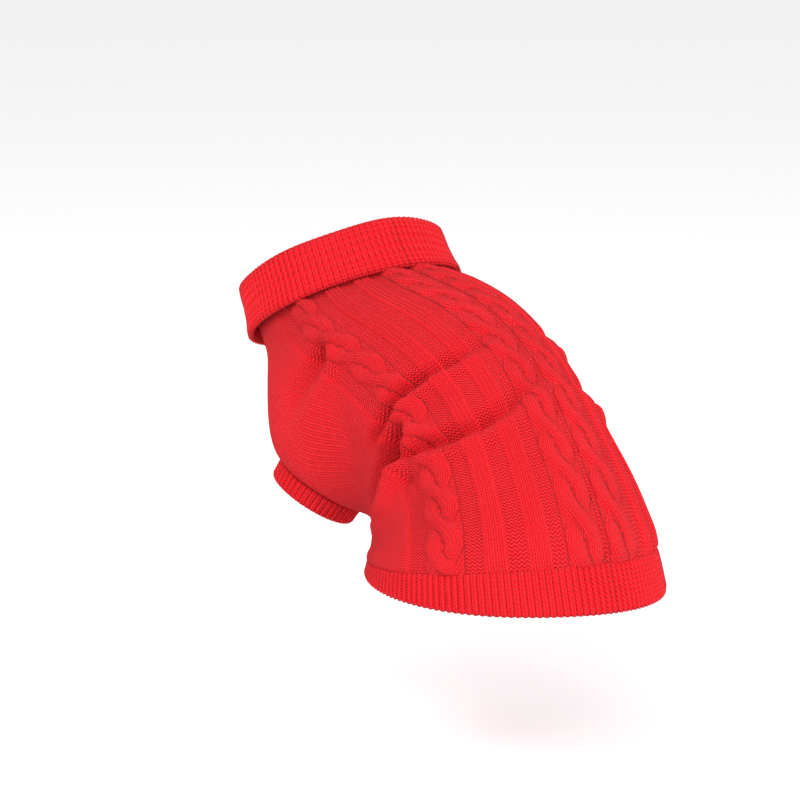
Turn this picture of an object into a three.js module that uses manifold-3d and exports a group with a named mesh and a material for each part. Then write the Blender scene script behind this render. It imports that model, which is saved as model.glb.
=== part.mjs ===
// Knitted wool dog coat with a folded collar, two short leg cuffs and ribbed hem.
// The coat keeps the hollow form it has when worn by a sitting animal.
// Millimetres, +Z up. The wearer faces -X and its left side is -Y.
// The origin is inside the back of the coat over the withers, where the wearer holds it.

import * as THREE from 'three';
import Module from 'manifold-3d';

// ---------------------------------------------------------------- named sizes
const WALL = 2.8;             // thickness of the knitted fabric
const RIB_WALL = 2.6;         // thickness of the ribbed bands
const SEAM_GAP = 0.3;         // space left between two joined pieces
const SIDE_SEAM_DEG = 148;    // side seams, measured from the centre back
const HEM_START = 0.925;      // share of the coat length where the ribbed hem begins
const CUFF_RADIUS = 25;       // outside of the leg cuff
const CUFF_HEIGHT = 11;       // length of the leg cuff along the leg
const CUFF_FLARE = 0.5;       // the cuff is this much wider where it joins the body
const COLLAR_HEIGHT = 27;     // folded height of the collar
const COLLAR_TUCK = 0.6;      // space between the two layers of the folded collar
const COLLAR_OVERHANG = 2.5;    // how far the turned-down layer passes the neck seam
const SEAM_TURN_DEG = 0.45;   // turn that leaves the seam gap between back and belly
const HEM_GAP_SHARE = 0.0036; // share of the length that leaves the seam gap at the hem
const PUNCH_LENGTH = 60;      // length of the cylinder that clears a leg opening
const CUFF_COLUMNS = 36;
const HEM_COLUMNS = 56;
const COLLAR_COLUMNS = 44;

const LEG_RIM = new THREE.Vector3(-57, -42, -121.5);   // centre of the left cuff's open end
const LEG_DIR = new THREE.Vector3(-0.33, -0.42, -0.85).normalize();
const LEG_FORWARD = new THREE.Vector3(-1, -0.4, 0.3); // wider side of the shoulder
const SHOULDER_REACH = 60;    // footprint of the shoulder bulge round the leg
const NECK_FREE = 0.12;       // share of the length below the neck before the shoulder starts
const SHOULDER_BIAS = 8;      // extra footprint on its wider side

// Body sections from neck to hem. Each is an ellipse in a plane tilted about Y.
const SECTIONS = [
  // share, centre x, centre z, tilt deg, half depth, half width
  { t: 0.00, x: -75, z: -19, tilt: 31, depth: 53, width: 56 },
  { t: 0.14, x: -45, z: -33, tilt: 40, depth: 60, width: 65 },
  { t: 0.28, x: -13, z: -48, tilt: 46, depth: 68, width: 62 },
  { t: 0.42, x: 14, z: -64, tilt: 46, depth: 74, width: 58 },
  { t: 0.56, x: 34, z: -80, tilt: 41, depth: 77, width: 57 },
  { t: 0.70, x: 50, z: -97, tilt: 31, depth: 77, width: 62 },
  { t: 0.84, x: 63, z: -115, tilt: 18, depth: 78, width: 70 },
  { t: 0.94, x: 69, z: -134, tilt: 7, depth: 80, width: 75 },
  { t: 1.00, x: 71, z: -145, tilt: 1, depth: 83, width: 77 },
];

// ---------------------------------------------------------------- small helpers
const rad = THREE.MathUtils.degToRad;
const smooth = (v) => THREE.MathUtils.smoothstep(v, 0, 1);

function slopeAt(key, i) {
  const lo = Math.max(i - 1, 0);
  const hi = Math.min(i + 1, SECTIONS.length - 1);
  return (SECTIONS[hi][key] - SECTIONS[lo][key]) / (SECTIONS[hi].t - SECTIONS[lo].t);
}

function sectionValue(key, t) {
  let i = 0;
  while (i < SECTIONS.length - 2 && t >= SECTIONS[i + 1].t) i += 1;
  const h = SECTIONS[i + 1].t - SECTIONS[i].t;
  const s = (t - SECTIONS[i].t) / h;
  const s2 = s * s;
  const s3 = s2 * s;
  return (2 * s3 - 3 * s2 + 1) * SECTIONS[i][key]
    + (s3 - 2 * s2 + s) * h * slopeAt(key, i)
    + (3 * s2 - 2 * s3) * SECTIONS[i + 1][key]
    + (s3 - s2) * h * slopeAt(key, i + 1);
}

// ---------------------------------------------------------------- body form
// angle 0 is the centre back, a positive angle turns toward the left side.
function torsoPoint(angle, t) {
  const tilt = rad(sectionValue('tilt', t));
  const depth = sectionValue('depth', t) * Math.cos(angle);
  const nearLeft = Math.exp(-3.2 * (1 - Math.cos(angle - rad(20))));
  const low = smooth((t - 0.7) / 0.3);
  const lift = low * (4 * Math.sin(angle) + 3 * nearLeft);
  return new THREE.Vector3(
    sectionValue('x', t) + depth * Math.cos(tilt),
    -sectionValue('width', t) * Math.sin(angle),
    sectionValue('z', t) + depth * Math.sin(tilt) + lift,
  );
}

const sided = (v, side) => new THREE.Vector3(v.x, v.y * side, v.z);

// The shoulder carries the fabric out along the leg as far as the cuff.
function legPush(p, side, t) {
  const dir = sided(LEG_DIR, side);
  const q = p.clone().sub(sided(LEG_RIM, side));
  const along = q.dot(dir);
  const across = q.clone().addScaledVector(dir, -along);
  const rho = across.length();
  const wide = sided(LEG_FORWARD, side);
  wide.addScaledVector(dir, -wide.dot(dir)).normalize();
  const turn = rho > 1e-6 ? across.dot(wide) / rho : 0;
  const reach = SHOULDER_REACH + SHOULDER_BIAS * turn;
  const inner = CUFF_RADIUS;
  const free = smooth((along + 92) / 34) * smooth(t / NECK_FREE);
  const share = smooth((reach - rho) / (reach - inner)) * free;
  const drop = Math.max(0, -CUFF_HEIGHT - along);
  return p.clone().addScaledVector(dir, drop * share);
}

function bodyPoint(angle, t) {
  const p = torsoPoint(angle, t);
  return legPush(p, p.y < 0 ? 1 : -1, t);
}

// The neck seam lies in one plane, so the inner face is trimmed to it too.
function belowNeck(p) {
  const tilt = rad(SECTIONS[0].tilt);
  const up = new THREE.Vector3(-Math.sin(tilt), 0, Math.cos(tilt));
  const foot = new THREE.Vector3(SECTIONS[0].x, 0, SECTIONS[0].z);
  return p.addScaledVector(up, -Math.max(0, p.clone().sub(foot).dot(up)));
}

function bodyNormal(angle, t) {
  const da = 0.01;
  const dt = 0.004;
  const t0 = Math.max(0, t - dt);
  const t1 = Math.min(1, t + dt);
  const across = bodyPoint(angle + da, t).sub(bodyPoint(angle - da, t));
  const along = bodyPoint(angle, t1).sub(bodyPoint(angle, t0));
  return across.cross(along).normalize();
}

// ---------------------------------------------------------------- cloth builders
// A cloth piece is a grid of outer and inner points, closed round its edges.
function clothGeometry(columns, rows, outerAt, innerAt, closed) {
  const width = closed ? columns : columns + 1;
  const height = rows + 1;
  const positions = [];
  for (const layer of [outerAt, innerAt]) {
    for (let r = 0; r < height; r += 1) {
      for (let c = 0; c < width; c += 1) positions.push(...layer(c / columns, r / rows));
    }
  }
  const inner = width * height;
  const at = (c, r) => r * width + (c % width);
  const faces = [];
  const quad = (a, b, c, d) => faces.push(a, b, c, a, c, d);
  for (let r = 0; r < rows; r += 1) {
    for (let c = 0; c < columns; c += 1) {
      const a = at(c, r);
      const b = at(c + 1, r);
      const e = at(c + 1, r + 1);
      const f = at(c, r + 1);
      quad(a, b, e, f);
      quad(inner + f, inner + e, inner + b, inner + a);
    }
  }
  for (let c = 0; c < columns; c += 1) {
    quad(at(c + 1, 0), at(c, 0), inner + at(c, 0), inner + at(c + 1, 0));
    quad(at(c, rows), at(c + 1, rows), inner + at(c + 1, rows), inner + at(c, rows));
  }
  if (!closed) {
    for (let r = 0; r < rows; r += 1) {
      quad(at(0, r), at(0, r + 1), inner + at(0, r + 1), inner + at(0, r));
      const e = columns;
      quad(at(e, r + 1), at(e, r), inner + at(e, r), inner + at(e, r + 1));
    }
  }
  const geometry = new THREE.BufferGeometry();
  geometry.setAttribute('position', new THREE.Float32BufferAttribute(positions, 3));
  geometry.setIndex(faces);
  return geometry;
}

// A profile loop is swept round the neck and joined back to its own start.
function sweptGeometry(columns, loopAt) {
  const count = loopAt(0).length;
  const positions = [];
  for (let c = 0; c < columns; c += 1) {
    for (const p of loopAt((2 * Math.PI * c) / columns)) positions.push(...p.toArray());
  }
  const faces = [];
  for (let c = 0; c < columns; c += 1) {
    const next = (c + 1) % columns;
    for (let k = 0; k < count; k += 1) {
      const j = (k + 1) % count;
      const a = c * count + k;
      const b = next * count + k;
      const e = next * count + j;
      const f = c * count + j;
      faces.push(a, b, e, a, e, f);
    }
  }
  const geometry = new THREE.BufferGeometry();
  geometry.setAttribute('position', new THREE.Float32BufferAttribute(positions, 3));
  geometry.setIndex(faces);
  return geometry;
}

// ---------------------------------------------------------------- cuts
const wasm = await Module();
wasm.setup();

function toSolid(geometry) {
  const mesh = new wasm.Mesh({
    numProp: 3,
    vertProperties: new Float32Array(geometry.attributes.position.array),
    triVerts: new Uint32Array(geometry.index.array),
  });
  mesh.merge();
  return new wasm.Manifold(mesh);
}

function toGeometry(solid) {
  const mesh = solid.getMesh();
  const points = [];
  for (let i = 0; i < mesh.vertProperties.length; i += mesh.numProp) {
    points.push(mesh.vertProperties[i], mesh.vertProperties[i + 1], mesh.vertProperties[i + 2]);
  }
  const geometry = new THREE.BufferGeometry();
  geometry.setAttribute('position', new THREE.Float32BufferAttribute(points, 3));
  geometry.setIndex([...mesh.triVerts]);
  return geometry;
}

// A cylinder along the leg clears the opening inside the cuff.
function legPunch(side) {
  const radius = CUFF_RADIUS - RIB_WALL;
  const cylinder = new THREE.CylinderGeometry(radius, radius, PUNCH_LENGTH, CUFF_COLUMNS);
  const dir = sided(LEG_DIR, side);
  const turn = new THREE.Quaternion().setFromUnitVectors(new THREE.Vector3(0, 1, 0), dir);
  const centre = sided(LEG_RIM, side).addScaledVector(dir, -CUFF_HEIGHT);
  cylinder.applyMatrix4(new THREE.Matrix4().compose(centre, turn, new THREE.Vector3(1, 1, 1)));
  return toSolid(cylinder);
}

// ---------------------------------------------------------------- pieces
function bodyPanel(fromDeg, toDeg, columns, rows) {
  const layer = (inset) => (u, v) => {
    const angle = rad(fromDeg + (toDeg - fromDeg) * u);
    const t = HEM_START * v;
    const p = bodyPoint(angle, t).addScaledVector(bodyNormal(angle, t), -inset);
    return belowNeck(p).toArray();
  };
  let solid = toSolid(clothGeometry(columns, rows, layer(0), layer(WALL), false));
  for (const side of [1, -1]) solid = solid.subtract(legPunch(side));
  return toGeometry(solid);
}

function hemBand() {
  const layer = (inset) => (u, v) => {
    const angle = 2 * Math.PI * u;
    const t = HEM_START + HEM_GAP_SHARE + (1 - HEM_START - HEM_GAP_SHARE) * v;
    return bodyPoint(angle, t).addScaledVector(bodyNormal(angle, t), -inset).toArray();
  };
  return clothGeometry(HEM_COLUMNS, 3, layer(0), layer(RIB_WALL), true);
}

function legCuff(side) {
  const dir = sided(LEG_DIR, side);
  const rim = sided(LEG_RIM, side);
  const across = new THREE.Vector3(1, 0, 0).addScaledVector(dir, -dir.x).normalize();
  const other = dir.clone().cross(across);
  const layer = (inset) => (u, v) => {
    const turn = 2 * Math.PI * u;
    const height = (CUFF_HEIGHT - SEAM_GAP) * (1 - v);
    const radius = CUFF_RADIUS - inset + CUFF_FLARE * (1 - v) * (1 - v);
    const p = rim.clone().addScaledVector(dir, -height);
    p.addScaledVector(across, radius * Math.cos(turn));
    return p.addScaledVector(other, radius * Math.sin(turn)).toArray();
  };
  return clothGeometry(CUFF_COLUMNS, 2, layer(0), layer(RIB_WALL), true);
}

// The collar stands on the neck seam, folds over at the top and hangs down outside.
function foldedCollar() {
  const tilt = rad(SECTIONS[0].tilt);
  const up = new THREE.Vector3(-Math.sin(tilt), 0, Math.cos(tilt));
  const back = new THREE.Vector3(Math.cos(tilt), 0, Math.sin(tilt));
  const foot = new THREE.Vector3(SECTIONS[0].x, 0, SECTIONS[0].z);
  const top = COLLAR_HEIGHT;
  const low = -COLLAR_OVERHANG;
  const face = RIB_WALL + COLLAR_TUCK;
  const profile = [
    // height above the neck seam, distance out from the neck line
    { up: SEAM_GAP, out: 0 },
    { up: SEAM_GAP, out: -RIB_WALL },
    { up: top * 0.5, out: -RIB_WALL - 0.6 },
    { up: top - 2.4, out: -RIB_WALL },
    { up: top - 0.6, out: -RIB_WALL + 0.9 },
    { up: top, out: 0.3 },
    { up: top - 0.6, out: face - 0.9 },
    { up: top - 2.4, out: face },
    { up: top * 0.5, out: face + 0.6 },
    { up: top * 0.2, out: face + 1.6 },
    { up: low, out: face + 3.4 },
    { up: low, out: COLLAR_TUCK + 3.4 },
    { up: top * 0.2, out: COLLAR_TUCK + 1.6 },
    { up: top * 0.5, out: COLLAR_TUCK + 0.4 },
    { up: top - 3.4, out: COLLAR_TUCK },
    { up: top - 3.0, out: 0.3 },
    { up: top - 3.4, out: 0 },
    { up: top * 0.5, out: -0.3 },
  ];
  const loopAt = (angle) => profile.map((row) => {
    const p = foot.clone().addScaledVector(up, row.up);
    p.addScaledVector(back, (SECTIONS[0].depth + row.out) * Math.cos(angle));
    p.y -= (SECTIONS[0].width + row.out) * Math.sin(angle);
    return p;
  });
  return sweptGeometry(COLLAR_COLUMNS, loopAt);
}

// ---------------------------------------------------------------- assembly
const wool = new THREE.MeshStandardMaterial({ color: 0xd8202b, roughness: 0.92, metalness: 0 });
const ribWool = new THREE.MeshStandardMaterial({ color: 0xc91c28, roughness: 0.92, metalness: 0 });

const coat = new THREE.Group();
coat.name = 'dog_coat';

function place(name, geometry, material) {
  geometry.computeVertexNormals();
  const mesh = new THREE.Mesh(geometry, material);
  mesh.name = name;
  coat.add(mesh);
}

const seam = SIDE_SEAM_DEG;
place('back_panel', bodyPanel(-seam, seam, 44, 24), wool);
place('belly_panel', bodyPanel(seam + SEAM_TURN_DEG, 360 - seam - SEAM_TURN_DEG, 14, 24), wool);
place('collar', foldedCollar(), ribWool);
place('cuff_left', legCuff(1), ribWool);
place('cuff_right', legCuff(-1), ribWool);
place('hem_band', hemBand(), ribWool);

export default coat;
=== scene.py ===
"""A cable-knit dog coat in its worn form, with no wearer: back, belly, collar, cuffs and hem."""

import math

import bpy
import numpy as np
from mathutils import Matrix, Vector


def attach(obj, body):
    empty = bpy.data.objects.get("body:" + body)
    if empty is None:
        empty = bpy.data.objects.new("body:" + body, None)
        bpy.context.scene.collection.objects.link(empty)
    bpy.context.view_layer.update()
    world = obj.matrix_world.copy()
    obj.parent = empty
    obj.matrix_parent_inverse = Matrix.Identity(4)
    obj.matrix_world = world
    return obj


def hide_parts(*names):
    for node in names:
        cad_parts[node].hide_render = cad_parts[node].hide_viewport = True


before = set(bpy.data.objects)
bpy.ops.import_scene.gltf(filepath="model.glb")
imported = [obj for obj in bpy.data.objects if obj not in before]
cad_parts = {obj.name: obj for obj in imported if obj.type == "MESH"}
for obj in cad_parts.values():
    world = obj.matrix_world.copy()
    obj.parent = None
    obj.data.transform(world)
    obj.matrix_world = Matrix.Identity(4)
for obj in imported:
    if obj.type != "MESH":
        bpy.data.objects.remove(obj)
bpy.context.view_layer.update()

bl_info = {
    "name": "Wool dog coat",
    "version": (1, 0, 0),
    "blender": (4, 5, 0),
    "location": "3D View > Sidebar > Dog Coat",
    "description": "Cable-knit dog coat with ribbed collar, cuffs and hem",
    "category": "Object",
}

MM = 0.001

# ------------------------------------------------------------------ sizes, mm
WALL = 2.8
RIB_WALL = 2.6
SEAM_GAP = 0.3
SIDE_SEAM_DEG = 148.0
SEAM_TURN_DEG = 0.45
HEM_START = 0.925
HEM_TUCK = 0.012
CUFF_RADIUS = 25.0
CUFF_HEIGHT = 11.0
COLLAR_HEIGHT = 27.0
COLLAR_TUCK = 0.6
COLLAR_OVERHANG = 2.5
NECK_FREE = 0.12
SHOULDER_REACH = 60.0
SHOULDER_BIAS = 8.0
LEG_RIM = np.array((-57.0, -42.0, -121.5))
LEG_DIR = np.array((-0.33, -0.42, -0.85)) / np.linalg.norm((-0.33, -0.42, -0.85))
LEG_FORWARD = np.array((-1.0, -0.4, 0.3))
# The bulge over a foreleg starts this far above the cuff's rim, and grows over this length.
BULGE_TOP = 92.0
BULGE_FADE = 34.0
# The leg hole is cut no higher than this above the cuff, and the cloth settles round it.
HOLE_MARGIN = 9.0
HOLE_EASE = 8.0
# The hem rises on the left side, most at HEM_HIGH_DEG, and sinks on the right.
HEM_LIFT_FROM, HEM_LIFT_SPAN = 0.7, 0.3
HEM_SIDE_LIFT = 4.0
HEM_HIGH_LIFT = 3.0
HEM_HIGH_DEG = 20.0
HEM_HIGH_FOCUS = 3.2
# Just above the hem the cloth swells, and then it tucks in behind the band.
HEM_SWELL = 1.4
HEM_SINK = 3.6

# share of length, centre x, centre z, tilt deg, half depth, half width
SECTIONS = np.array((
    (0.00, -75, -19, 31, 53, 56),
    (0.14, -45, -33, 40, 60, 65),
    (0.28, -13, -48, 46, 68, 62),
    (0.42, 14, -64, 46, 74, 58),
    (0.56, 34, -80, 41, 77, 57),
    (0.70, 50, -97, 31, 77, 62),
    (0.84, 63, -115, 18, 78, 70),
    (0.94, 69, -134, 7, 80, 75),
    (1.00, 71, -145, 1, 83, 77),
), dtype=float)

# Knit: stitches are counted from the centre back to the side seam, rows along the coat.
WALE_DEG = 2.1
COURSES = 150.0
CABLE_ROWS = 13.4
PLAIN_START = 39.5
PLAIN_CROWDING = 1.12
FINE_STEP = 1 / 3
PURL_DEPTH = 1.2
RIB_HEIGHT, RIB_RELIEF = 0.45, 0.4
# Cable strands: shares of half the cable's width, then heights in mm.
STRAND_SWING = 0.5
STRAND_HALF = 0.56
STRAND_ROUND = 2.4
STRAND_HEIGHT = 2.1
CROSS_LIFT, CROSS_SINK = 1.2, 1.3
CABLE_BED = 0.5
# The cable on the flank crosses a few rows after the one beside the centre back.
FLANK_CABLE_FROM = 20.0
FLANK_CABLE_ROWS = 5.0
# first stitch, last stitch, kind
PATTERN = (
    (-0.5, 0.5, "purl"),
    (0.5, 8.5, "cable"),
    (8.5, 11.5, "purl"),
    (11.5, 15.5, "rib"),
    (15.5, 19.5, "purl"),
    (19.5, 23.5, "rib"),
    (23.5, 27.5, "purl"),
    (27.5, 35.5, "cable"),
    (35.5, 39.5, "purl"),
)

# Folds are laid out on a flat map of the coat with these scales.
MAP_MM_PER_DEG = 1.15
MAP_LENGTH = 240
FOLD_STRENGTH = 1.4
# Widths and rolls of a fold on its lower and its upper side.
LOWER_REACH, UPPER_REACH = 0.62, 1.5
LOWER_ROLL, UPPER_ROLL = 0.55, 0.12
ROLL_OFFSET = 1.8

# Folds: each is a line of (angle deg, share, depth, half width), left side positive.
FOLDS = (
    # valley behind the foreleg
    ((70, 0.49, 0.0, 5), (77, 0.525, 6.5, 5), (84, 0.555, 9.5, 5.5), (95, 0.59, 11.0, 6.5),
     (105, 0.625, 9.0, 8.5), (116, 0.65, 4.0, 11), (128, 0.66, 0.0, 13)),
    # long crease over the flank, overlapped from below
    ((86, 0.57, 0.0, 3.5), (78, 0.59, 5.0, 3.8), (58, 0.61, 5.4, 4), (41, 0.62, 5.0, 4),
     (25, 0.61, 4.0, 4), (12, 0.58, 2.4, 4.5), (-6, 0.55, 0.0, 5)),
    # upper crease over the flank
    ((95, 0.49, 0.0, 3.5), (88, 0.475, 4.2, 3.8), (75, 0.45, 5.4, 3.8), (60, 0.435, 5.2, 4),
     (48, 0.435, 4.4, 4), (33, 0.44, 3.0, 4), (18, 0.43, 1.6, 4.5), (0, 0.40, 0.0, 5)),
    # soft pucker down the shoulder
    ((68, 0.17, 0.0, 3.5), (75, 0.215, 5.0, 3.5), (87, 0.23, 3.6, 5), (99, 0.23, 2.6, 6),
     (112, 0.245, 0.0, 7)),
    # small dimple
    ((76, 0.655, 0.0, 4), (81, 0.655, 2.2, 4), (88, 0.665, 0.0, 5)),
    # hidden side
    ((-72, 0.49, 0.0, 6), (-82, 0.55, 7.0, 7), (-98, 0.60, 8.0, 8), (-114, 0.64, 4.0, 11),
     (-128, 0.66, 0.0, 13)),
    ((-84, 0.60, 0.0, 5), (-66, 0.62, 4.0, 5), (-44, 0.60, 3.4, 5), (-20, 0.57, 0.0, 6)),
    ((-92, 0.47, 0.0, 5), (-70, 0.44, 3.6, 5), (-45, 0.42, 2.6, 5), (-22, 0.42, 0.0, 6)),
    ((-70, 0.18, 0.0, 5), (-84, 0.22, 3.0, 5), (-104, 0.25, 0.0, 8)),
    # under the belly
    ((158, 0.62, 0.0, 12), (172, 0.64, 1.2, 13), (190, 0.64, 1.2, 13), (204, 0.61, 0.0, 12)),
)


# ------------------------------------------------------------------ form
def smooth(v):
    v = np.clip(v, 0.0, 1.0)
    return v * v * (3.0 - 2.0 * v)


def section(column, t):
    share = SECTIONS[:, 0]
    y = SECTIONS[:, column]
    slope = np.gradient(y, share, edge_order=1)
    slope[1:-1] = (y[2:] - y[:-2]) / (share[2:] - share[:-2])
    i = np.clip(np.searchsorted(share, t, side="right") - 1, 0, len(share) - 2)
    h = share[i + 1] - share[i]
    s = (t - share[i]) / h
    return (
        (2 * s**3 - 3 * s**2 + 1) * y[i]
        + (s**3 - 2 * s**2 + s) * h * slope[i]
        + (3 * s**2 - 2 * s**3) * y[i + 1]
        + (s**3 - s**2) * h * slope[i + 1]
    )


def torso(angle, t):
    x, z, tilt, depth, width = (section(k, t) for k in range(1, 6))
    tilt = np.radians(tilt)
    near_left = np.exp(-HEM_HIGH_FOCUS * (1 - np.cos(angle - math.radians(HEM_HIGH_DEG))))
    lift = HEM_SIDE_LIFT * np.sin(angle) + HEM_HIGH_LIFT * near_left
    lift = smooth((t - HEM_LIFT_FROM) / HEM_LIFT_SPAN) * lift
    reach = depth * np.cos(angle)
    return np.stack((
        x + reach * np.cos(tilt),
        -width * np.sin(angle),
        z + reach * np.sin(tilt) + lift,
    ), axis=-1)


def sided(v, side):
    return v * np.array((1.0, side, 1.0))


def leg_distance(p, side):
    q = p - sided(LEG_RIM, side)
    direction = sided(LEG_DIR, side)
    along = q @ direction
    across = q - along[..., None] * direction
    return along, across, np.linalg.norm(across, axis=-1)


def leg_push(p, side, t):
    direction = sided(LEG_DIR, side)
    along, across, rho = leg_distance(p, side)
    wide = sided(LEG_FORWARD, side)
    wide = wide - (wide @ direction) * direction
    wide = wide / np.linalg.norm(wide)
    turn = (across @ wide) / np.maximum(rho, 1e-6)
    reach = SHOULDER_REACH + SHOULDER_BIAS * turn
    share = smooth((reach - rho) / (reach - CUFF_RADIUS))
    share = share * smooth((along + BULGE_TOP) / BULGE_FADE) * smooth(t / NECK_FREE)
    drop = np.maximum(0.0, -CUFF_HEIGHT - along)
    return p + (drop * share)[..., None] * direction


def body_form(angle, t):
    p = torso(angle, t)
    return np.where(p[..., 1:2] < 0, leg_push(p, 1, t), leg_push(p, -1, t))


def body_normal(angle, t):
    da, dt = 0.01, 0.004
    t0, t1 = np.maximum(t - dt, 0.0), np.minimum(t + dt, 1.0)
    across = body_form(angle + da, t) - body_form(angle - da, t)
    along = body_form(angle, t1) - body_form(angle, t0)
    n = np.cross(across, along)
    return n / np.linalg.norm(n, axis=-1, keepdims=True)


def fold_depth(angle, t):
    """How far the cloth sinks, in mm, with a soft roll along each side of a fold."""
    deg = np.degrees(angle)
    total = np.zeros_like(deg)
    for rows in FOLDS:
        best = np.full_like(deg, 1e9)
        depth = np.zeros_like(deg)
        width = np.ones_like(deg)
        lower = np.zeros(deg.shape, dtype=bool)
        for a, b in zip(rows[:-1], rows[1:]):
            for turn in (0.0, 360.0):
                ax, ay = (a[0] - turn) * MAP_MM_PER_DEG, a[1] * MAP_LENGTH
                bx, by = (b[0] - turn) * MAP_MM_PER_DEG, b[1] * MAP_LENGTH
                px, py = deg * MAP_MM_PER_DEG, t * MAP_LENGTH
                dx, dy = bx - ax, by - ay
                square = dx * dx + dy * dy
                k = np.clip(((px - ax) * dx + (py - ay) * dy) / square, 0, 1)
                offset_x, offset_y = px - ax - k * dx, py - ay - k * dy
                dist = np.hypot(offset_x, offset_y)
                near = dist < best
                best = np.where(near, dist, best)
                lower = np.where(near, offset_y > 0, lower)
                depth = np.where(near, a[2] + k * (b[2] - a[2]), depth)
                width = np.where(near, a[3] + k * (b[3] - a[3]), width)
        # The cloth below a crease laps over it, so that side is steep and rolled.
        reach = width * np.where(lower, LOWER_REACH, UPPER_REACH)
        valley = np.exp(-((best / reach) ** 2))
        roll = np.exp(-(((best - ROLL_OFFSET * width) / width) ** 2))
        roll = np.where(lower, LOWER_ROLL, UPPER_ROLL) * roll
        total += FOLD_STRENGTH * depth * (valley - roll)
    return total


# ------------------------------------------------------------------ knit
def bump_between(w, low, high, edge=0.45):
    return smooth((w - low) / edge + 0.5) * smooth((high - w) / edge + 0.5)


def cable(x, rows, half):
    """Two strands that cross left over right. Gives height and stitch place."""
    phase = np.mod(rows / CABLE_ROWS, 1.0)
    over = half * STRAND_SWING * np.cos(np.pi * phase)
    under = -over
    size = half * STRAND_HALF
    top = 1.0 - np.clip(np.abs(x - over) / size, 0, 1) ** STRAND_ROUND
    low = 1.0 - np.clip(np.abs(x - under) / size, 0, 1) ** STRAND_ROUND
    crossing = np.sin(np.pi * phase)
    h_over = top * (STRAND_HEIGHT + CROSS_LIFT * crossing)
    h_under = low * (STRAND_HEIGHT - CROSS_SINK * crossing)
    on_top = h_over >= h_under
    height = np.where(on_top, h_over, h_under)
    place = np.where(on_top, x - over, x - under)
    return height, place


def body_knit(wale, rows):
    """Height in mm, place across the stitches, and how much the surface is purl."""
    side = np.abs(wale)
    height = np.zeros_like(wale)
    place = wale.copy()
    purl = np.zeros_like(wale)
    for low, high, kind in PATTERN:
        inside = bump_between(side, low, high)
        within = (side >= low) & (side < high)
        if kind == "purl":
            height -= PURL_DEPTH * inside
            purl = np.maximum(purl, inside)
        elif kind == "rib":
            stitch = np.cos(2 * np.pi * (side - low - 0.5))
            height += inside * (RIB_HEIGHT + RIB_RELIEF * stitch)
        else:
            middle = np.sign(wale) * (low + high) / 2
            shift = FLANK_CABLE_ROWS if low > FLANK_CABLE_FROM else 0.0
            h, x = cable(wale - middle, rows + shift, (high - low) / 2)
            height += inside * (h - CABLE_BED)
            place = np.where(within, x + 0.5, place)
    crowded = PLAIN_START + (side - PLAIN_START) * PLAIN_CROWDING
    place = np.where(side > PLAIN_START, np.sign(wale) * crowded, place)
    return height, place, purl


def wale_columns(first, last):
    """Grid lines across the cloth: close together in the patterned part."""
    lines = [first]
    while lines[-1] < last - 1e-6:
        step = FINE_STEP if abs(lines[-1] + 0.1) < PLAIN_START else 1.0
        lines.append(min(lines[-1] + step, last))
    return np.array(lines)


# ------------------------------------------------------------------ meshes
def new_piece(name, vertices, faces, uv, purl):
    """A smooth mesh with a stitch map in "Knit" and the share of purl in "purl"."""
    mesh = bpy.data.meshes.new(name)
    mesh.from_pydata(np.asarray(vertices) * MM, [], faces)
    mesh.validate()
    mesh.update()
    layer = mesh.uv_layers.new(name="Knit")
    index = np.zeros(len(mesh.loops), dtype=np.int32)
    mesh.loops.foreach_get("vertex_index", index)
    layer.data.foreach_set("uv", np.asarray(uv, dtype=np.float32)[index].ravel())
    spots = mesh.attributes.new("purl", "FLOAT", "POINT")
    spots.data.foreach_set("value", np.asarray(purl, dtype=np.float32))
    mesh.polygons.foreach_set("use_smooth", np.ones(len(mesh.polygons), dtype=bool))
    obj = bpy.data.objects.new(name, mesh)
    bpy.context.scene.collection.objects.link(obj)
    return obj


def shell(name, outer, inner, uv, purl, keep=None, closed=False):
    """Outer and inner grids joined round every free edge."""
    rows, columns = outer.shape[:2]
    index = np.arange(rows * columns).reshape(rows, columns)
    right = np.roll(index, -1, axis=1)
    if not closed:
        index, right = index[:, :-1], right[:, :-1]
    quads = np.stack((index[:-1], right[:-1], right[1:], index[1:]), axis=-1).reshape(-1, 4)
    if keep is not None:
        quads = quads[keep.ravel()[quads].any(axis=1)]
    count = rows * columns
    edges = np.concatenate([quads[:, (k, (k + 1) % 4)] for k in range(4)])
    pairs = {(int(a), int(b)) for a, b in edges}
    rim = [(a, b) for a, b in pairs if (b, a) not in pairs]
    walls = [(b, a, a + count, b + count) for a, b in sorted(rim)]
    faces = quads.tolist() + (quads[:, ::-1] + count).tolist() + walls
    vertices = np.concatenate((outer.reshape(-1, 3), inner.reshape(-1, 3)))
    used = np.zeros(2 * count, dtype=bool)
    used[np.unique(np.concatenate((quads.ravel(), quads.ravel() + count)))] = True
    renumber = np.cumsum(used) - 1
    faces = [[int(renumber[i]) for i in face] for face in faces]
    uv = np.concatenate((uv.reshape(-1, 2), uv.reshape(-1, 2)))[used]
    # The wrong side of the knit is all purl.
    purl = np.concatenate((purl.ravel(), np.ones(count)))[used]
    return new_piece(name, vertices[used], faces, uv, purl)


def leg_zone(p, side):
    """The way out from a leg's axis, the distance from it, and what lies near the hole."""
    along, across, rho = leg_distance(p, side)
    low = (along > -CUFF_HEIGHT - HOLE_MARGIN) & (p[..., 1] * side < 0)
    return across, rho, low


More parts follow.
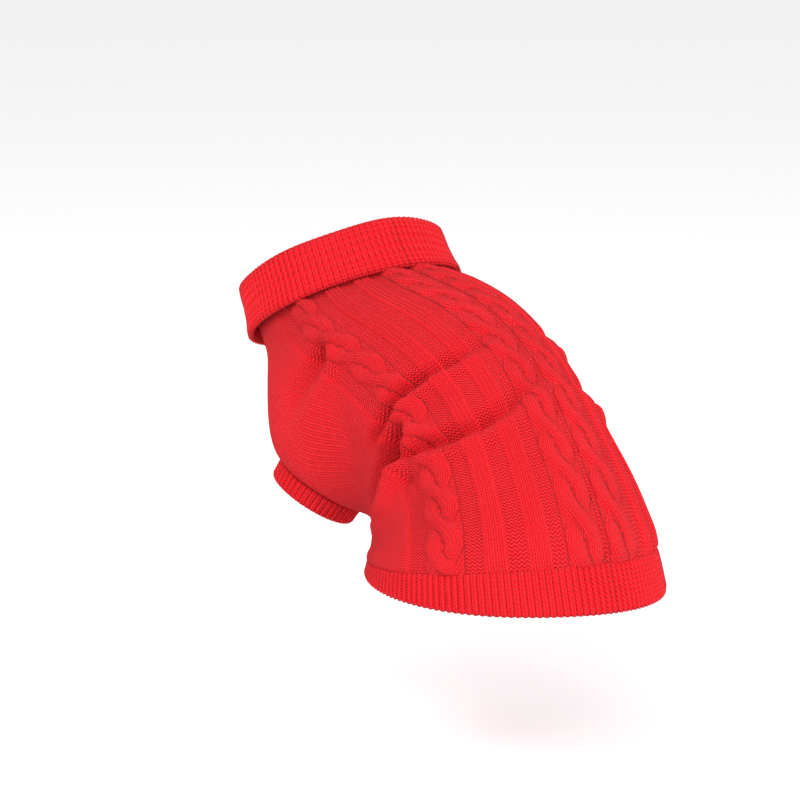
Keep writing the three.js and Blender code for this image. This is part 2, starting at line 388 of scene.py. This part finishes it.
def body_panel(name, first_deg, last_deg, row_count):
    wales = wale_columns(first_deg / WALE_DEG, last_deg / WALE_DEG)
    share = np.linspace(0.0, HEM_START + HEM_TUCK, row_count)
    wale, t = np.meshgrid(wales, share)
    angle = np.radians(wale * WALE_DEG)
    rows = t * COURSES
    if last_deg > 180:
        height, purl = np.zeros_like(wale), np.zeros_like(wale)
        place = wale * PLAIN_CROWDING
    else:
        height, place, purl = body_knit(wale, rows)
    p = body_form(angle, t)
    n = body_normal(angle, t)
    fade = smooth(t / 0.03) * smooth((HEM_START + 0.004 - t) / 0.014)
    swell = HEM_SWELL * np.exp(-(((HEM_START - t) / 0.035 - 0.7) ** 2))
    swell = swell - HEM_SINK * smooth((t - HEM_START + 0.006) / (HEM_TUCK + 0.004))
    sink = fold_depth(angle, t) * fade
    keep = np.ones_like(t, dtype=bool)
    hole = CUFF_RADIUS - RIB_WALL / 2
    near_cuff = np.zeros_like(t)
    for side in (1, -1):
        _, rho, low = leg_zone(p, side)
        near_cuff = np.maximum(near_cuff, low * smooth((hole + HOLE_EASE - rho) / HOLE_EASE))
        keep &= ~(low & (rho < hole))
    outer = p + n * ((height * fade + swell - sink) * (1 - near_cuff))[..., None]
    inner = p + n * (-WALL - sink * (1 - near_cuff))[..., None]
    for side in (1, -1):
        across, rho, low = leg_zone(p, side)
        snap = low & (rho < hole) & (rho > 1e-6)
        direction = across / np.maximum(rho, 1e-6)[..., None]
        moved = p + direction * (hole - rho)[..., None]
        outer = np.where(snap[..., None], moved, outer)
        inner = np.where(snap[..., None], moved + n * -WALL, inner)
    uv = np.stack((place, rows), axis=-1)
    return shell(name, outer, inner, uv, purl, keep)


HEM_RIBS, HEM_LEVELS = 138, 12
CUFF_RIBS, CUFF_LEVELS = 46, 9
COLLAR_RIBS = 104
PER_RIB = 6


def around(ribs):
    """Places round a band, from 0 to 1, with a few in each rib."""
    return np.arange(ribs * PER_RIB) / (ribs * PER_RIB)


def rib_wave(turns):
    """Round ribs with narrow furrows between them, from 0 to 1."""
    return np.abs(np.cos(np.pi * turns)) ** 0.8


def hem_band():
    start = HEM_START - 0.002
    uu, vv = np.meshgrid(around(HEM_RIBS), np.linspace(0, 1, HEM_LEVELS))
    angle = 2 * np.pi * uu
    t = start + (1 - start) * vv
    p, n = body_form(angle, t), body_normal(angle, t)
    wave = rib_wave(uu * HEM_RIBS)
    edge = smooth(vv / 0.12) * smooth((1 - vv) / 0.1)
    outer = p + n * ((1.9 * wave - 0.9) * (0.35 + 0.65 * edge))[..., None]
    inner = p - n * RIB_WALL * (0.7 + 0.3 * edge)[..., None]
    # The ribs end in small scallops.
    outer[..., 2] -= 0.6 * wave * (vv > 0.99)
    uv = np.stack((uu * HEM_RIBS, vv * 10), axis=-1)
    return shell("hem", outer, inner, uv, 0 * wave, closed=True)


def leg_cuff(name, side):
    direction, rim = sided(LEG_DIR, side), sided(LEG_RIM, side)
    across = np.array((1.0, 0, 0)) - LEG_DIR[0] * direction
    across /= np.linalg.norm(across)
    other = np.cross(direction, across)
    uu, vv = np.meshgrid(around(CUFF_RIBS), np.linspace(0, 1, CUFF_LEVELS))
    wave = rib_wave(uu * CUFF_RIBS)
    edge = smooth(vv / 0.15) * smooth((1 - vv) / 0.12)
    turn = (2 * np.pi * uu)[..., None]
    spoke = across * np.cos(turn) + other * np.sin(turn)
    height = ((CUFF_HEIGHT - SEAM_GAP) * (1 - vv))[..., None]
    flare = 0.8 * (1 - vv) ** 2
    radius = CUFF_RADIUS + flare + (1.8 * wave - 0.8) * (0.35 + 0.65 * edge)
    outer = rim - direction * height + spoke * radius[..., None]
    inner = rim - direction * height + spoke * (CUFF_RADIUS - RIB_WALL)
    uv = np.stack((uu * CUFF_RIBS, vv * 7), axis=-1)
    return shell(name, outer, inner, uv, 0 * wave, closed=True)


def folded_collar():
    tilt = math.radians(SECTIONS[0, 3])
    up = np.array((-math.sin(tilt), 0, math.cos(tilt)))
    back = np.array((math.cos(tilt), 0, math.sin(tilt)))
    foot = np.array((SECTIONS[0, 1], 0, SECTIONS[0, 2]))
    top, face = COLLAR_HEIGHT, RIB_WALL + COLLAR_TUCK
    # height above the neck seam, distance out, how strongly the ribs show
    profile = (
        (SEAM_GAP, 0.0, 0.0), (SEAM_GAP, -RIB_WALL, 0.0),
        (top * 0.25, -RIB_WALL - 0.4, -0.6), (top * 0.5, -RIB_WALL - 0.6, -0.8),
        (top * 0.75, -RIB_WALL - 0.4, -0.8), (top - 2.4, -RIB_WALL, -0.7),
        (top - 0.6, -RIB_WALL + 0.9, 0.2), (top, 0.3, 0.5), (top - 0.6, face - 0.9, 0.8),
        (top - 2.4, face, 1.0), (top * 0.75, face + 0.4, 1.0), (top * 0.5, face + 0.6, 1.0),
        (top * 0.2, face + 1.6, 1.0), (0.6, face + 2.8, 1.0),
        (-COLLAR_OVERHANG, face + 3.2, 0.8), (-COLLAR_OVERHANG - 0.4, face + 1.6, 0.2),
        (-COLLAR_OVERHANG, COLLAR_TUCK + 3.4, 0.0), (top * 0.2, COLLAR_TUCK + 1.6, 0.0),
        (top * 0.5, COLLAR_TUCK + 0.4, 0.0), (top - 3.4, COLLAR_TUCK, 0.0),
        (top - 3.0, 0.3, 0.0), (top - 3.4, 0.0, 0.0), (top * 0.5, -0.3, 0.0),
    )
    rows = np.array(profile)
    uu, kk = np.meshgrid(around(COLLAR_RIBS), np.arange(len(rows)), indexing="ij")
    wave = rib_wave(uu * COLLAR_RIBS)
    angle = 2 * np.pi * uu
    out = rows[kk, 1] + rows[kk, 2] * (1.9 * wave - 0.9)
    slump = 0.8 * np.sin(3 * angle + 0.7) + 0.6 * np.sin(5 * angle + 2.0)
    height = rows[kk, 0] + slump * np.clip(rows[kk, 0] / top, 0, 1)
    depth, width = SECTIONS[0, 4] + out, SECTIONS[0, 5] + out
    p = foot + up * height[..., None] + back * (depth * np.cos(angle))[..., None]
    p[..., 1] -= width * np.sin(angle)
    count, size = p.shape[:2]
    index = np.arange(count * size).reshape(count, size)
    a, b = index, np.roll(index, -1, axis=0)
    quads = np.stack((a, b, np.roll(b, -1, axis=1), np.roll(a, -1, axis=1)), axis=-1)
    uv = np.stack((uu * COLLAR_RIBS, kk * 1.6), axis=-1).reshape(-1, 2)
    faces = quads.reshape(-1, 4).tolist()
    return new_piece("turned_collar", p.reshape(-1, 3), faces, uv, (0 * wave).ravel())


# ------------------------------------------------------------------ wool
class NodeBook:
    """Short ways to add and join the nodes of one material."""

    def __init__(self, material):
        material.use_nodes = True
        self.nodes = material.node_tree.nodes
        self.links = material.node_tree.links

    def put(self, socket, value):
        if isinstance(value, bpy.types.NodeSocket):
            self.links.new(value, socket)
        else:
            socket.default_value = value

    def math(self, operation, *values):
        node = self.nodes.new("ShaderNodeMath")
        node.operation = operation
        for socket, value in zip(node.inputs, values):
            self.put(socket, value)
        return node.outputs[0]

    def wave(self, phase):
        turned = self.math("MULTIPLY", phase, 2 * math.pi)
        cosine = self.math("COSINE", turned)
        return self.math("MULTIPLY_ADD", cosine, 0.5, 0.5)


def wool(name, light, dark, depth):
    material = bpy.data.materials.new(name)
    book = NodeBook(material)
    nodes, links = book.nodes, book.links
    shader = nodes["Principled BSDF"]
    uv = nodes.new("ShaderNodeUVMap")
    uv.uv_map = "Knit"
    split = nodes.new("ShaderNodeSeparateXYZ")
    links.new(uv.outputs[0], split.inputs[0])
    across, along = split.outputs[0], split.outputs[1]
    purl = nodes.new("ShaderNodeAttribute")
    purl.attribute_name = "purl"
    # Plain stitches: two slanting legs that meet in a V.
    centred = book.math("FRACT", book.math("ADD", across, 0.5))
    centred = book.math("SUBTRACT", centred, 0.5)
    off = book.math("ABSOLUTE", centred)
    legs = book.wave(book.math("MULTIPLY_ADD", off, 1.3, along))
    furrow = book.math("ABSOLUTE", book.math("SINE", book.math("MULTIPLY", off, 2 * math.pi)))
    rounded = book.math("POWER", furrow, 0.85)
    plain = book.math("MULTIPLY", rounded, book.math("MULTIPLY_ADD", legs, 0.68, 0.32))
    # Purl stitches: short curved bars, set like bricks.
    sway = book.math("COSINE", book.math("MULTIPLY", across, 2 * math.pi))
    sway = book.math("MULTIPLY", sway, 0.28)
    bars = book.math("POWER", book.wave(book.math("ADD", along, sway)), 0.8)
    height = nodes.new("ShaderNodeMix")
    height.data_type = "FLOAT"
    links.new(purl.outputs["Fac"], height.inputs[0])
    links.new(plain, height.inputs[2])
    links.new(bars, height.inputs[3])
    knit = height.outputs[0]
    place = nodes.new("ShaderNodeTexCoord")
    fibre = nodes.new("ShaderNodeTexNoise")
    links.new(place.outputs["Object"], fibre.inputs["Vector"])
    fibre.inputs["Scale"].default_value = 2200
    fibre.inputs["Detail"].default_value = 3
    patch = nodes.new("ShaderNodeTexNoise")
    links.new(place.outputs["Object"], patch.inputs["Vector"])
    patch.inputs["Scale"].default_value = 30
    fuzzy = book.math("MULTIPLY_ADD", fibre.outputs["Fac"], 0.25, knit)
    bump = nodes.new("ShaderNodeBump")
    bump.inputs["Strength"].default_value = 0.9
    bump.inputs["Distance"].default_value = depth
    links.new(fuzzy, bump.inputs["Height"])
    links.new(bump.outputs[0], shader.inputs["Normal"])
    # Painted shade: the colour runs from the light wool colour on the raised stitches to the dark
    # colour where the stitch height is low, standing in for the shade in the gaps between
    # stitches; patch and fibre noise add random tone.
    tone = nodes.new("ShaderNodeMix")
    tone.data_type = "RGBA"
    tone.inputs[6].default_value = dark
    tone.inputs[7].default_value = light
    # Painted shade: purl stitches, in the sunk channels and on the wrong side, are coloured
    # darker.
    purl_painted_shade = book.math("MULTIPLY", purl.outputs["Fac"], -0.14)
    painted_shade_level = book.math("MULTIPLY_ADD", knit, 0.95, book.math("ADD", purl_painted_shade, 0.04))
    varied = book.math("MULTIPLY_ADD", patch.outputs["Fac"], 0.22, painted_shade_level)
    soft = book.math("MULTIPLY_ADD", fibre.outputs["Fac"], 0.15, varied)
    clamp = nodes.new("ShaderNodeClamp")
    links.new(soft, clamp.inputs[0])
    links.new(clamp.outputs[0], tone.inputs[0])
    links.new(tone.outputs[2], shader.inputs["Base Color"])
    shader.inputs["Roughness"].default_value = 0.95
    shader.inputs["Specular IOR Level"].default_value = 0.08
    shader.inputs["Sheen Weight"].default_value = 0.10
    shader.inputs["Sheen Roughness"].default_value = 0.45
    shader.inputs["Sheen Tint"].default_value = (1.0, 0.30, 0.32, 1.0)
    return material


# ------------------------------------------------------------------ add-on
class CoatLooks(bpy.types.PropertyGroup):
    wool_light: bpy.props.FloatVectorProperty(
        name="Wool", description="Colour of the raised stitches", subtype="COLOR",
        size=4, default=(0.90, 0.018, 0.028, 1.0), min=0, max=1)
    # Painted shade: this dark colour is put between the stitches in place of the shade that falls
    # in the gaps.
    wool_painted_shade: bpy.props.FloatVectorProperty(
        name="Furrows", description="Colour between the stitches", subtype="COLOR",
        size=4, default=(0.36, 0.001, 0.003, 1.0), min=0, max=1)
    stitch_depth: bpy.props.FloatProperty(
        name="Stitch depth", description="How far the stitches stand out",
        default=0.0016, min=0, max=0.003, unit="LENGTH")


class CoatGrid(bpy.types.PropertyGroup):
    body_rows: bpy.props.IntProperty(
        name="Body rows", description="Grid rows from neck to hem", default=160, min=20, max=400)


def wool_material():
    looks = bpy.context.scene.coat_looks
    found = bpy.data.materials.get("red_wool")
    if found:
        return found
    return wool("red_wool", tuple(looks.wool_light), tuple(looks.wool_painted_shade), looks.stitch_depth)


def finish_piece(obj, node):
    obj.data.materials.append(wool_material())
    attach(obj, "root")
    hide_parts(node)


class COAT_OT_back(bpy.types.Operator):
    """Knit the cabled back with its plain flanks"""
    bl_idname = "coat.back"
    bl_label = "Back panel"

    def execute(self, context):
        rows = context.scene.coat_grid.body_rows
        obj = body_panel("cabled_back", -SIDE_SEAM_DEG, SIDE_SEAM_DEG, rows)
        finish_piece(obj, "back_panel")
        return {"FINISHED"}


class COAT_OT_belly(bpy.types.Operator):
    """Knit the plain strip under the chest and belly"""
    bl_idname = "coat.belly"
    bl_label = "Belly panel"

    def execute(self, context):
        rows = context.scene.coat_grid.body_rows
        first = SIDE_SEAM_DEG + SEAM_TURN_DEG
        obj = body_panel("plain_belly", first, 360 - first, rows)
        finish_piece(obj, "belly_panel")
        return {"FINISHED"}


class COAT_OT_collar(bpy.types.Operator):
    """Knit the ribbed collar, folded over once"""
    bl_idname = "coat.collar"
    bl_label = "Collar"

    def execute(self, context):
        finish_piece(folded_collar(), "collar")
        return {"FINISHED"}


class COAT_OT_cuffs(bpy.types.Operator):
    """Knit the two ribbed leg cuffs"""
    bl_idname = "coat.cuffs"
    bl_label = "Leg cuffs"

    def execute(self, context):
        for name, node, side in (("left_cuff", "cuff_left", 1), ("right_cuff", "cuff_right", -1)):
            finish_piece(leg_cuff(name, side), node)
        return {"FINISHED"}


class COAT_OT_hem(bpy.types.Operator):
    """Knit the ribbed band round the hem"""
    bl_idname = "coat.hem"
    bl_label = "Hem band"

    def execute(self, context):
        finish_piece(hem_band(), "hem_band")
        return {"FINISHED"}


# Stage, in metres
FLOOR_HEIGHT = -0.245
AIM = np.array((0.014, 0.0, -0.086))
CAMERA_AZIMUTH = math.radians(53)
CAMERA_ELEVATION = math.radians(15)
CAMERA_DISTANCE = 1.5
KEY_OFFSET, KEY_SIZE, KEY_POWER = np.array((0.1, -1.1, 1.2)), 1.0, 17
FILL_OFFSET, FILL_SIZE, FILL_POWER = np.array((1.3, -0.2, 0.6)), 1.2, 19


def soft_light(name, place, aim, size, power):
    data = bpy.data.lights.new(name, "AREA")
    data.shape = "SQUARE"
    data.size = size
    data.energy = power
    obj = bpy.data.objects.new(name, data)
    obj.location = place
    gaze = Vector(np.array(aim) - np.array(place))
    obj.rotation_euler = gaze.to_track_quat("-Z", "Y").to_euler()
    bpy.context.scene.collection.objects.link(obj)


class COAT_OT_stage(bpy.types.Operator):
    """Set the pale floor, the soft lights and the camera"""
    bl_idname = "coat.stage"
    bl_label = "Stage"

    def execute(self, context):
        scene = context.scene
        bpy.ops.object.select_all(action="DESELECT")
        bpy.ops.mesh.primitive_plane_add(size=12, location=(0, 0, FLOOR_HEIGHT))
        floor = context.object
        floor.name = "floor"
        pale = bpy.data.materials.new("pale_floor")
        pale.use_nodes = True
        shader = pale.node_tree.nodes["Principled BSDF"]
        shader.inputs["Base Color"].default_value = (0.9, 0.9, 0.91, 1)
        shader.inputs["Roughness"].default_value = 0.9
        floor.data.materials.append(pale)
        world = bpy.data.worlds.new("studio")
        world.use_nodes = True
        sky = world.node_tree.nodes["Background"]
        sky.inputs["Color"].default_value = (1, 1, 1, 1)
        sky.inputs["Strength"].default_value = 0.95
        scene.world = world
        scene.view_settings.view_transform = "Standard"
        away = np.array((
            math.sin(CAMERA_AZIMUTH) * math.cos(CAMERA_ELEVATION),
            -math.cos(CAMERA_AZIMUTH) * math.cos(CAMERA_ELEVATION),
            math.sin(CAMERA_ELEVATION),
        ))
        soft_light("key", AIM + KEY_OFFSET, AIM, KEY_SIZE, KEY_POWER)
        soft_light("fill", AIM + FILL_OFFSET, AIM, FILL_SIZE, FILL_POWER)
        data = bpy.data.cameras.new("camera")
        data.sensor_width = 36
        data.lens = 125
        data.shift_x = -0.0625
        data.shift_y = 0.0625
        data.clip_start = 0.05
        camera = bpy.data.objects.new("camera", data)
        camera.location = AIM + away * CAMERA_DISTANCE
        camera.rotation_euler = (math.pi / 2 - CAMERA_ELEVATION, 0, CAMERA_AZIMUTH)
        scene.collection.objects.link(camera)
        scene.camera = camera
        return {"FINISHED"}


class COAT_PT_panel(bpy.types.Panel):
    bl_label = "Wool dog coat"
    bl_idname = "COAT_PT_panel"
    bl_space_type = "VIEW_3D"
    bl_region_type = "UI"
    bl_category = "Dog Coat"

    def draw(self, context):
        layout = self.layout
        for group in (context.scene.coat_looks, context.scene.coat_grid):
            for key in group.bl_rna.properties.keys():
                if key not in ("rna_type", "name"):
                    layout.prop(group, key)
        for step in STEPS:
            layout.operator(step.bl_idname)


STEPS = (COAT_OT_back, COAT_OT_belly, COAT_OT_collar, COAT_OT_cuffs, COAT_OT_hem, COAT_OT_stage)
CLASSES = (CoatLooks, CoatGrid) + STEPS + (COAT_PT_panel,)


def register():
    for item in CLASSES:
        bpy.utils.register_class(item)
    bpy.types.Scene.coat_looks = bpy.props.PointerProperty(type=CoatLooks)
    bpy.types.Scene.coat_grid = bpy.props.PointerProperty(type=CoatGrid)


def unregister():
    del bpy.types.Scene.coat_grid
    del bpy.types.Scene.coat_looks
    for item in reversed(CLASSES):
        bpy.utils.unregister_class(item)


def main():
    register()
    for step in STEPS:
        group, name = step.bl_idname.split(".")
        getattr(getattr(bpy.ops, group), name)()


if __name__ == "__main__":
    main()
